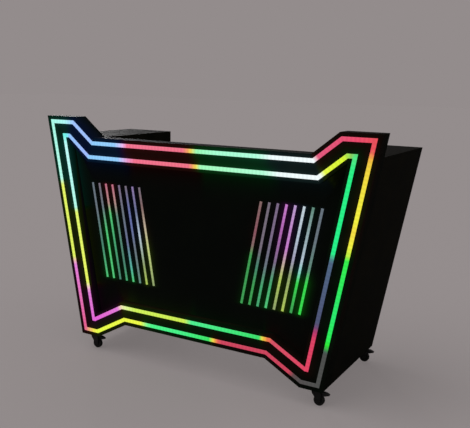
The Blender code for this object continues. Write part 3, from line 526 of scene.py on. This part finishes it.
opal, tree, shader, place = start("satin_acrylic_lit", IOR=1.49, Roughness=0.35,
                                  Specular_IOR_Level=0.25)
light = add(tree, "Attribute", {"attribute_name": "light"}).outputs["Color"]
run = add(tree, "Attribute", {"attribute_name": "run"}).outputs["Fac"]
turns = add(tree, "Math", {"operation": "MULTIPLY"}, {0: run, 1: 2 * math.pi / LED_PITCH})
wave = add(tree, "Math", {"operation": "SINE"}, {0: turns.outputs[0]})
glow = add(tree, "MapRange", None, {"Value": wave.outputs[0], "From Min": -1.0,
                                    "To Min": BETWEEN_LEDS, "To Max": OVER_LED})
satin = add(tree, "TexNoise", None, {"Vector": place, "Scale": 1 / 0.002}).outputs["Fac"]
tone = add(tree, "ValToRGB", None, {"Fac": satin}, ((0, "#121214"), (1, "#1A1A1C")))
bump = add(tree, "Bump", None, {"Height": satin, "Strength": 0.1, "Distance": 0.0001})
plug(tree, shader, {"Emission Color": light, "Emission Strength": glow.outputs["Result"],
                    "Base Color": tone.outputs["Color"], "Normal": bump.outputs["Normal"]})
print("acrylic with an LED every", round(1000 * LED_PITCH, 1), "mm")

# %% [markdown]
# The strip as geometry. The outline of its outer edge becomes one face, an inset as wide as the
# strip leaves a frame of quads with mitred corners, and the quads are cut into lengths of about
# 8 mm. Then the frame is extruded to its thickness, and the edges of its front are rounded. At the
# two sharp points near the feet the strips are butted, not mitred, so their tips are cut off flat.

# %% The two light loops
STRIP_WIDTH = 0.0169
STRIP_FRONT = -0.001
STRIP_BACK = 0.0079
STRIP_ROUND = 0.0025
PIECE_LENGTH = 0.008
TIP_CUT = FEET_Z + 0.0727
SAME_PLANE = 1e-6
RIM_ANGLE = 1.0
SMOOTH_BELOW = math.radians(35)


def thicken(shape, faces, depth):
    """Extrudes flat faces along Y."""
    grown = bmesh.ops.extrude_face_region(shape, geom=faces)["geom"]
    far = [part for part in grown if isinstance(part, bmesh.types.BMVert)]
    bmesh.ops.translate(shape, verts=far, vec=(0, depth, 0))


def light_loop(name, line, runs, tip_cut=None):
    """One closed light strip that follows a centre line and carries its run of colours."""
    shape = bmesh.new()
    points = moved_out(line, STRIP_WIDTH / 2)
    back = PANEL_FACE_Y + STRIP_BACK
    halfway = PANEL_FACE_Y + (STRIP_FRONT + STRIP_BACK) / 2
    outline = shape.faces.new([shape.verts.new((p.x, back, p.y)) for p in points])
    shape.normal_update()
    frame_of_quads = bmesh.ops.inset_region(
        shape, faces=[outline], thickness=STRIP_WIDTH, use_even_offset=True, use_boundary=True
    )["faces"]
    bmesh.ops.delete(shape, geom=[outline], context="FACES")
    for quad in frame_of_quads:
        rims = [edge for edge in quad.edges if len(edge.link_faces) == 1]
        pieces = round(sum(edge.calc_length() for edge in rims) / len(rims) / PIECE_LENGTH)
        bmesh.ops.subdivide_edges(shape, edges=rims, cuts=max(pieces - 1, 1), use_grid_fill=True)
    thicken(shape, shape.faces[:], STRIP_FRONT - STRIP_BACK)
    if tip_cut is not None:
        cut = bmesh.ops.bisect_plane(
            shape, geom=shape.verts[:] + shape.edges[:] + shape.faces[:], dist=SAME_PLANE,
            plane_co=(0, 0, tip_cut), plane_no=(0, 0, -1), clear_outer=True
        )["geom_cut"]
        bmesh.ops.holes_fill(shape, edges=[e for e in cut if isinstance(e, bmesh.types.BMEdge)])
    bmesh.ops.recalc_face_normals(shape, faces=shape.faces)
    sharp = [edge for edge in shape.edges
             if all(v.co.y < halfway for v in edge.verts) and edge.calc_face_angle(0) > RIM_ANGLE]
    bmesh.ops.bevel(shape, geom=sharp, offset=STRIP_ROUND, segments=3, profile=0.5,
                    affect="EDGES", material=-1)
    light_layer = shape.verts.layers.float_color.new("light")
    run_layer = shape.verts.layers.float.new("run")
    for vert in shape.verts:
        _, corner, metres = place_on(line, Vector((vert.co.x, vert.co.z)))
        vert[light_layer] = colour_at(runs, corner)
        vert[run_layer] = metres
    piece = as_object(shape, name, opal)
    for polygon in piece.data.polygons:
        polygon.use_smooth = True
    piece.data.set_sharp_from_angle(angle=SMOOTH_BELOW)
    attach(piece, "stand")
    print(name, len(piece.data.polygons), "faces")
    return piece


outer_loop = light_loop("outer_light_loop", OUTER_LINE, OUTER_RUNS)
inner_loop = light_loop("inner_light_loop", INNER_LINE, INNER_RUNS, TIP_CUT)
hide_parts("outer_diffuser")
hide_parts("inner_diffuser")

# %% [markdown]
# The light bars glow dimmer than the loops, and each has its own gradient from its top (0) to its
# bottom (1). The same few hues return in many bars, so they are named once and the bars list the
# names, which keeps sixteen gradients readable. The outermost bar of each side comes first.

# %% The colours of the sixteen bars
BAR_LIGHTS = {
    "smoke": "#64707A", "ash": "#726876", "slate": "#646C92", "indigo": "#626CA4",
    "plum": "#786684", "violet": "#8874A4", "purple": "#AC60B0", "magenta": "#C476C8",
    "orchid": "#B898CC", "lilac": "#9C98B4", "rose": "#BE6880", "clay": "#AE8480",
    "umber": "#806462", "brick": "#88505C", "sand": "#BCAA94", "straw": "#BCCC7C",
    "citron": "#AAC454", "olive": "#8CA068", "mist": "#B0C0D0", "ice": "#C0D0D8",
    "foam": "#84D0C4", "aqua": "#50B09C", "sage": "#5C8878", "pine": "#42806A",
    "jade": "#40A46C", "green": "#4CC474", "lime": "#32D84A", "leaf": "#389A4E",
}
LEFT_BARS = (
    ((0, "smoke"), (.3, "smoke"), (.65, "pine"), (1, "green")),
    ((0, "ash"), (.25, "smoke"), (.5, "green"), (1, "green")),
    ((0, "rose"), (.2, "clay"), (.31, "green"), (.6, "jade"), (1, "pine")),
    ((0, "rose"), (.18, "clay"), (.32, "sage"), (.82, "pine"), (1, "jade")),
    ((0, "plum"), (.3, "smoke"), (.6, "slate"), (.85, "aqua"), (1, "green")),
    ((0, "ash"), (.25, "indigo"), (.4, "indigo"), (.65, "smoke"), (1, "sage")),
    ((0, "violet"), (.25, "slate"), (.5, "mist"), (.8, "olive"), (1, "citron")),
    ((0, "ash"), (.2, "umber"), (.4, "sand"), (.65, "straw"), (1, "olive")),
)
RIGHT_BARS = (
    ((0, "smoke"), (.3, "smoke"), (.57, "sage"), (.7, "lime"), (1, "lime")),
    ((0, "sage"), (.5, "mist"), (.6, "foam"), (.7, "lime"), (1, "leaf")),
    ((0, "ice"), (.3, "mist"), (.5, "lilac"), (.65, "olive"), (1, "citron")),
    ((0, "orchid"), (.4, "magenta"), (.57, "sand"), (.7, "citron"), (1, "olive")),
    ((0, "magenta"), (.25, "purple"), (.55, "plum"), (.75, "jade"), (1, "green")),
    ((0, "plum"), (.3, "plum"), (.6, "smoke"), (.8, "jade"), (1, "jade")),
    ((0, "ash"), (.45, "ash"), (.6, "pine"), (.8, "leaf"), (1, "leaf")),
    ((0, "umber"), (.3, "brick"), (.42, "umber"), (.52, "leaf"), (1, "leaf")),
)
print("hues:", len(BAR_LIGHTS), "bars:", len(LEFT_BARS) + len(RIGHT_BARS))

# %% [markdown]
# The bars lean as the panel's slanted side does, in a row that follows it. Short functions say
# where that side is at a height, which bar is at a place, and how far down a bar a height is. The
# bars use them, and later so does the light that they spill.

# %% Where the bars stand
LEAN = math.radians(10.31)
PANEL_TOP = 1.0183
PANEL_HALF = 0.8
BAR_FROM_SIDE = 0.179
BAR_PITCH = 0.0377
BAR_WIDTH = 0.0108
BAR_LOW, BAR_HIGH = 0.2865, 0.7226


def side_at(height):
    """How far out the panel's slanted side is at a height above the feet."""
    return PANEL_HALF - (PANEL_TOP - height) * math.tan(LEAN)


def row_at(side, x, height):
    """The number of the bar at a place, with a fraction between two bars."""
    return (side_at(height) - BAR_FROM_SIDE - side * x) / BAR_PITCH


def down_bar(height):
    """The fraction of a bar's length at a height, from its top."""
    return min(max((BAR_HIGH - height) / (BAR_HIGH - BAR_LOW), 0), 1)


print("first bars:", round(side_at(BAR_LOW) - BAR_FROM_SIDE, 4), "m from the middle at their foot")

# %% [markdown]
# The bars are ribs on one moulded plate for each side. They come through slots in the field and end
# flush with it. Each rib is a block that is turned by the lean, set in its row, rounded at its
# front and cut along its length; its points carry the light as those of the loops do.

# %% The bars and their plates
BAR_FRONT, PLATE_FRONT, PLATE_BACK = 0.0375, 0.0503, 0.0533
PLATE_MARGIN = 0.014
BAR_SLICES = 30
BAR_ROUND = 0.0008


def bar_plate(name, side, bars):
    """The plate of one side with its eight ribs."""
    shape = bmesh.new()
    low, high = BAR_LOW - PLATE_MARGIN, BAR_HIGH + PLATE_MARGIN
    outer = BAR_FROM_SIDE - PLATE_MARGIN
    inner = BAR_FROM_SIDE + (len(bars) - 1) * BAR_PITCH + PLATE_MARGIN
    corners = ((low, outer), (high, outer), (high, inner), (low, inner))
    plate = shape.faces.new([
        shape.verts.new((side * (side_at(z) - off), PANEL_FACE_Y + PLATE_BACK, z + FEET_Z))
        for z, off in corners
    ])
    thicken(shape, [plate], PLATE_FRONT - PLATE_BACK)
    light_layer = shape.verts.layers.float_color.new("light")
    run_layer = shape.verts.layers.float.new("run")
    length = (BAR_HIGH - BAR_LOW) / math.cos(LEAN)
    depth = PLATE_FRONT - BAR_FRONT
    middle = (BAR_LOW + BAR_HIGH) / 2
    for number in range(len(bars)):
        centre = Vector((side * (side_at(middle) - BAR_FROM_SIDE - number * BAR_PITCH),
                         PANEL_FACE_Y + BAR_FRONT + depth / 2, middle + FEET_Z))
        turned = Matrix.Translation(centre) @ Matrix.Rotation(side * LEAN, 4, "Y")
        size = Matrix.Diagonal((BAR_WIDTH, depth, length, 1))
        rib = bmesh.ops.create_cube(shape, size=1, matrix=turned @ size)["verts"]
        rounded = {edge for vert in rib for edge in vert.link_edges
                   if all(v.co.y < centre.y for v in edge.verts)}
        bmesh.ops.bevel(shape, geom=list(rounded), offset=BAR_ROUND, segments=2, profile=0.5,
                        affect="EDGES", material=-1)
    plate_middle = PANEL_FACE_Y + (PLATE_FRONT + PLATE_BACK) / 2
    seen_and_long = [edge for edge in shape.edges
                     if edge.calc_length() > length / 2 and edge.verts[0].co.y < plate_middle]
    bmesh.ops.subdivide_edges(shape, edges=seen_and_long, cuts=BAR_SLICES, use_grid_fill=True)
    for vert in shape.verts:
        height = vert.co.z - FEET_Z
        number = round(row_at(side, vert.co.x, height))
        bar = bars[min(max(number, 0), len(bars) - 1)]
        vert[light_layer] = colour_at(bar, down_bar(height), BAR_LIGHTS)
        vert[run_layer] = down_bar(height) * length
    bmesh.ops.recalc_face_normals(shape, faces=shape.faces)
    piece = as_object(shape, name, opal)
    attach(piece, "stand")
    print(name, len(piece.data.polygons), "faces")
    return piece


for (side_name, side), bars in zip(SIDES, (LEFT_BARS, RIGHT_BARS)):
    ribs = bar_plate(side_name + "_light_bars", side, bars)
    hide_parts(side_name + "_bar_lens")

# %% [markdown]
# Light spills over the black board beside a strip: near it the board has a dim, deep tint of the
# strip's colour, which fades within some centimetres. It is painted light: a faint emission that
# the board itself carries. Its strength at a place is the sum of what the nearest places of the
# strips send to it, each less the farther it is, and on the field that of the nearest bars as well.

# %% How much light reaches a place
BOTH_LOOPS = ((OUTER_LINE, OUTER_RUNS), (INNER_LINE, INNER_RUNS))
LEAST_SPILL, WHITE_SPILL = 0.002, 0.16
WHITE_LOST = 0.8
LOOP_REACH = 0.018
FIELD_SHARE, FIELD_REACH = 0.45, 0.032
BAR_SPILL, BAR_REACH = 0.11, 0.011
END_FADE = 3


def deep(colour):
    """A colour without most of its white, squared, as spilled light looks on black."""
    white = WHITE_LOST * min(colour[:3])
    return Vector([(part - white) ** 2 for part in colour[:3]])


def loop_spill(x, y, z, reach, loops):
    """The sum over the loops; the brightest LEDs look the palest, and spill the most."""
    total = Vector((0, 0, 0))
    behind = max(y - PANEL_FACE_Y, 0)
    for line, runs in loops:
        off, corner, _ = place_on(line, Vector((x, z)))
        beside = max(off - STRIP_WIDTH / 2, 0)
        colour = colour_at(runs, corner)
        spill = LEAST_SPILL + WHITE_SPILL * min(colour[:3])
        total += deep(colour) * spill * math.exp(-(beside + behind) / reach)
    return total


def panel_spill(x, y, z):
    """Light on the panel: that of both loops."""
    return loop_spill(x, y, z, LOOP_REACH, BOTH_LOOPS)


def field_spill(x, y, z):
    """Light on the field: a share from the inner loop, and that of the four nearest bars."""
    total = FIELD_SHARE * loop_spill(x, PANEL_FACE_Y, z, FIELD_REACH, BOTH_LOOPS[1:])
    side, bars = (1, RIGHT_BARS) if x > 0 else (-1, LEFT_BARS)
    height = z - FEET_Z
    row = row_at(side, x, height)
    beyond = max(height - BAR_HIGH, BAR_LOW - height, 0)
    for number in range(max(math.floor(row) - 1, 0), min(math.floor(row) + 3, len(bars))):
        beside = max(abs(row - number) * BAR_PITCH - BAR_WIDTH / 2, 0)
        colour = deep(colour_at(bars[number], down_bar(height), BAR_LIGHTS))
        total += colour * BAR_SPILL * math.exp(-(beside + END_FADE * beyond) / BAR_REACH)
    return total


between_strips = panel_spill(0, PANEL_FACE_Y, FEET_Z + 0.14)
print("light between the lower strips:", [round(part, 4) for part in between_strips])

# %% [markdown]
# The panel and the field are copied, so that the copies carry this painted light on all their faces
# but those at the back. A CAD solid is loose triangles, so the doubled points of its copy are
# merged first. Then bisect planes cut its front into a grid, which gives the fading enough points,
# and each corner of a face gets its colour. The panel's copy also gets a slightly darker and
# greener tone than the wings have, which is how the photograph shows it: painted shade with a green
# cast of painted light.

# %% The lit panel and the lit field
HALO_CELL = 0.011
SAME_POINT, SAME_SIDE = 1e-6, 1e-5
POINT_DIGITS = 5
FACES_FRONT, FACES_BACK = -0.9, 0.1


def with_painted_glow(finish, name):
    """The same finish with painted spilled light added to it."""
    made = finish.copy()
    made.name = name
    tree = made.node_tree
    spilled = add(tree, "Attribute", {"attribute_name": "painted_glow"}).outputs["Color"]
    shader = tree.nodes["Principled BSDF"]
    shader.inputs["Emission Strength"].default_value = 1.0
    plug(tree, shader, {"Emission Color": spilled})
    return made


def cut_front(shape, axis, at):
    """Cuts the front faces that a plane across an axis crosses."""
    crossed = [
        face for face in shape.faces
        if face.normal.y < FACES_FRONT
        and min(v.co[axis] for v in face.verts) < at < max(v.co[axis] for v in face.verts)
    ]
    parts = {part for face in crossed for part in (face, *face.edges, *face.verts)}
    plane = Vector([at if k == axis else 0 for k in range(3)])
    bmesh.ops.bisect_plane(shape, geom=list(parts), plane_co=plane,
                           plane_no=plane.normalized(), dist=SAME_SIDE)


def lit_copy(node, name, finish, spill_at):
    """A copy of a solid that carries painted spilled light on all its faces but those at the back.
    """
    shape = bmesh.new()
    shape.from_mesh(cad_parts[node].data)
    bmesh.ops.remove_doubles(shape, verts=shape.verts, dist=SAME_POINT)
    low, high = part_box(node)
    for axis in (0, 2):
        cells = round((high[axis] - low[axis]) / HALO_CELL)
        for cell in range(1, cells):
            cut_front(shape, axis, low[axis] + cell * (high[axis] - low[axis]) / cells)
    painted_glow_layer = shape.loops.layers.float_color.new("painted_glow")
    # Neighbouring faces share their corners, so each place is worked out once
    known = {}
    for face in shape.faces:
        for corner in face.loops:
            value = Vector((0, 0, 0))
            if face.normal.y < FACES_BACK:
                key = tuple(round(part, POINT_DIGITS) for part in corner.vert.co)
                if key not in known:
                    known[key] = spill_at(*key)
                value = known[key]
            corner[painted_glow_layer] = (*value, 1)
    piece = as_object(shape, name, finish)
    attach(piece, "stand")
    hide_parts(node)
    print(name, len(piece.data.polygons), "faces")
    return piece


shade_and_glow_board = with_painted_glow(board, "melamine_with_painted_shade_and_glow")
# The panel's copy gets a darker, greener board tone: painted shade with a green cast of painted
# light.
tones = shade_and_glow_board.node_tree.nodes[BOARD_TONE].color_ramp.elements
for element, code in zip(tones, ("#040905", "#0B0F0A")):
    element.color = linear(code)
lit_panel = lit_copy("front_frame", "lit_front_panel", shade_and_glow_board, panel_spill)
lit_field = lit_copy("field_panel", "lit_field",
                     with_painted_glow(field_paint, "sprayed_board_with_painted_glow"), field_spill)

# %% [markdown]
# Screws hold the leaves, the bracket plates and the rear cover. They are countersunk, so their
# heads end a quarter of a millimetre proud, and nothing catches when the stand folds. Each head is
# a short cone with a rim and a round socket: a dozen sides are enough for something 8 mm wide.
# Every group rides on the body that it holds, since a screw in a moving leaf swings with it.

# %% A group of screws
HEAD_HEIGHT = 0.0008
HEAD_PROUD = 0.00025
HEAD_SIDES = 12
# Shares of the head's radius, and one of its height
HEAD_FOOT, HEAD_RIM, SOCKET_SLOPE = 0.7, 0.55, 0.08
SOCKET_DEPTH = 0.6


def screws(name, body, finish, radius, outward, places):
    """Countersunk heads at places on one flat surface that faces outward."""
    shape = bmesh.new()
    outward = Vector(outward)
    turned = outward.to_track_quat("Z", "Y").to_matrix().to_4x4()
    for place in places:
        centre = Vector(place) + outward * (HEAD_PROUD - HEAD_HEIGHT / 2)
        head = bmesh.ops.create_cone(
            shape, cap_ends=True, segments=HEAD_SIDES, radius1=HEAD_FOOT * radius,
            radius2=radius, depth=HEAD_HEIGHT, matrix=Matrix.Translation(centre) @ turned
        )["verts"]
        shape.normal_update()
        top = max({face for vert in head for face in vert.link_faces},
                  key=lambda face: face.normal.dot(outward))
        bmesh.ops.inset_region(shape, faces=[top], thickness=HEAD_RIM * radius)
        bmesh.ops.inset_region(shape, faces=[top], thickness=SOCKET_SLOPE * radius,
                               depth=-SOCKET_DEPTH * HEAD_HEIGHT)
    piece = as_object(shape, name, finish)
    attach(piece, body)
    print(name, len(places), "screws on", body)


def along(low, high, number):
    """Evenly spaced numbers, half a space in from both ends."""
    return [low + (high - low) * (k + 0.5) / number for k in range(number)]


print("a head is", 1000 * HEAD_HEIGHT, "mm high and", 1000 * HEAD_PROUD, "mm proud")

# %% [markdown]
# A hinge leaf has its screws in a row, 10 mm from an edge, and a bracket plate has one near each
# corner. Both are found from the boxes of the CAD solids. The rear cover has a ring of screws,
# about 210 mm apart, that follows the outer light loop.

# %% Where the screws sit
LEAF_THICK, LEAF_INSET = 0.002, 0.010
PLATE_THICK, PLATE_INSET_Y, PLATE_INSET_Z = 0.0018, 0.006, 0.007
LEAF_SCREW, COVER_SCREW = 0.0036, 0.0042
WING_SCREWS, TABLE_SCREWS = 9, 10
for side_name, side in SIDES:
    low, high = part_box(side_name + "_hinge_fixed_leaf")
    free_edge = (high if side < 0 else low)[0]
    screws(side_name + "_post_screws", "stand", zinc, LEAF_SCREW, (0, 1, 0),
           [(free_edge + side * LEAF_INSET, low[1] + LEAF_THICK, z)
            for z in along(low[2], high[2], WING_SCREWS)])
    low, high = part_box(side_name + "_hinge_moving_leaf")
    wing_face = (low if side < 0 else high)[0] - side * LEAF_THICK
    screws(side_name + "_wing_screws", side_name + "_wing", zinc, LEAF_SCREW, (-side, 0, 0),
           [(wing_face, high[1] - LEAF_INSET, z) for z in along(low[2], high[2], WING_SCREWS)])
    low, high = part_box(side_name + "_bracket_plate")
    plate_face = (low if side < 0 else high)[0] - side * PLATE_THICK
    screws(side_name + "_bracket_screws", side_name + "_wing", ecoat, LEAF_SCREW, (-side, 0, 0),
           [(plate_face, y, z) for y in (low[1] + PLATE_INSET_Y, high[1] - PLATE_INSET_Y)
            for z in (low[2] + PLATE_INSET_Z, high[2] - PLATE_INSET_Z)])

low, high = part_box("table_hinge_fixed_leaf")
screws("cover_hinge_screws", "stand", zinc, LEAF_SCREW, (0, 1, 0),
       [(x, low[1] + LEAF_THICK, low[2] + LEAF_INSET)
        for x in along(low[0], high[0], TABLE_SCREWS)])
low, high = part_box("table_hinge_moving_leaf")
screws("table_hinge_screws", "table", zinc, LEAF_SCREW, (0, -1, 0),
       [(x, high[1] - LEAF_THICK, low[2] + LEAF_INSET)
        for x in along(low[0], high[0], TABLE_SCREWS)])

COVER_SCREW_PITCH = 0.21
INSIDE_OUTER_LINE = 0.006
cover_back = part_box("rear_cover")[1][1]
ring = moved_out(OUTER_LINE, -INSIDE_OUTER_LINE)
places = []
for a, b in zip(ring, ring[1:] + ring[:1]):
    steps = max(round((b - a).length / COVER_SCREW_PITCH), 1)
    places += [(a.lerp(b, k / steps).x, cover_back, a.lerp(b, k / steps).y) for k in range(steps)]
screws("cover_screws", "stand", ecoat, COVER_SCREW, (0, 1, 0), places)

# %% [markdown]
# Under each brake pedal the moulding has a web that keeps the lever stiff. Seen from the side it
# fills the corner between the lever and its root, and it ends clear of the wheel when the pedal is
# pressed. It is an outline in the lever's own plane, extruded: how far each point lies from the
# lever's tip, and how high it is above the floor.

# %% Webs of the brake pedals
WEB_HALF = 0.0045
WEB_ROUND = 0.0004
WEB_OUTLINE = ((-0.0345, 0.0500), (-0.0300, 0.0580), (-0.0175, 0.0583), (-0.0065, 0.0550),
               (-0.0008, 0.0508), (-0.0030, 0.0492), (-0.0120, 0.0462), (-0.0200, 0.0428),
               (-0.0255, 0.0432), (-0.0320, 0.0455))
for caster in CASTERS:
    low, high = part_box(caster + "_caster_brake")
    near = (low[1] + high[1]) / 2 - WEB_HALF
    shape = bmesh.new()
    face = shape.faces.new([shape.verts.new((high[0] + x, near, z)) for x, z in WEB_OUTLINE])
    thicken(shape, [face], 2 * WEB_HALF)
    bmesh.ops.recalc_face_normals(shape, faces=shape.faces)
    bmesh.ops.bevel(shape, geom=shape.edges[:], offset=WEB_ROUND, segments=1, profile=0.5,
                    affect="EDGES", material=-1)
    web = as_object(shape, caster + "_pedal_web", plastic)
    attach(web, caster + "_pedal")
print("webs:", len(CASTERS))
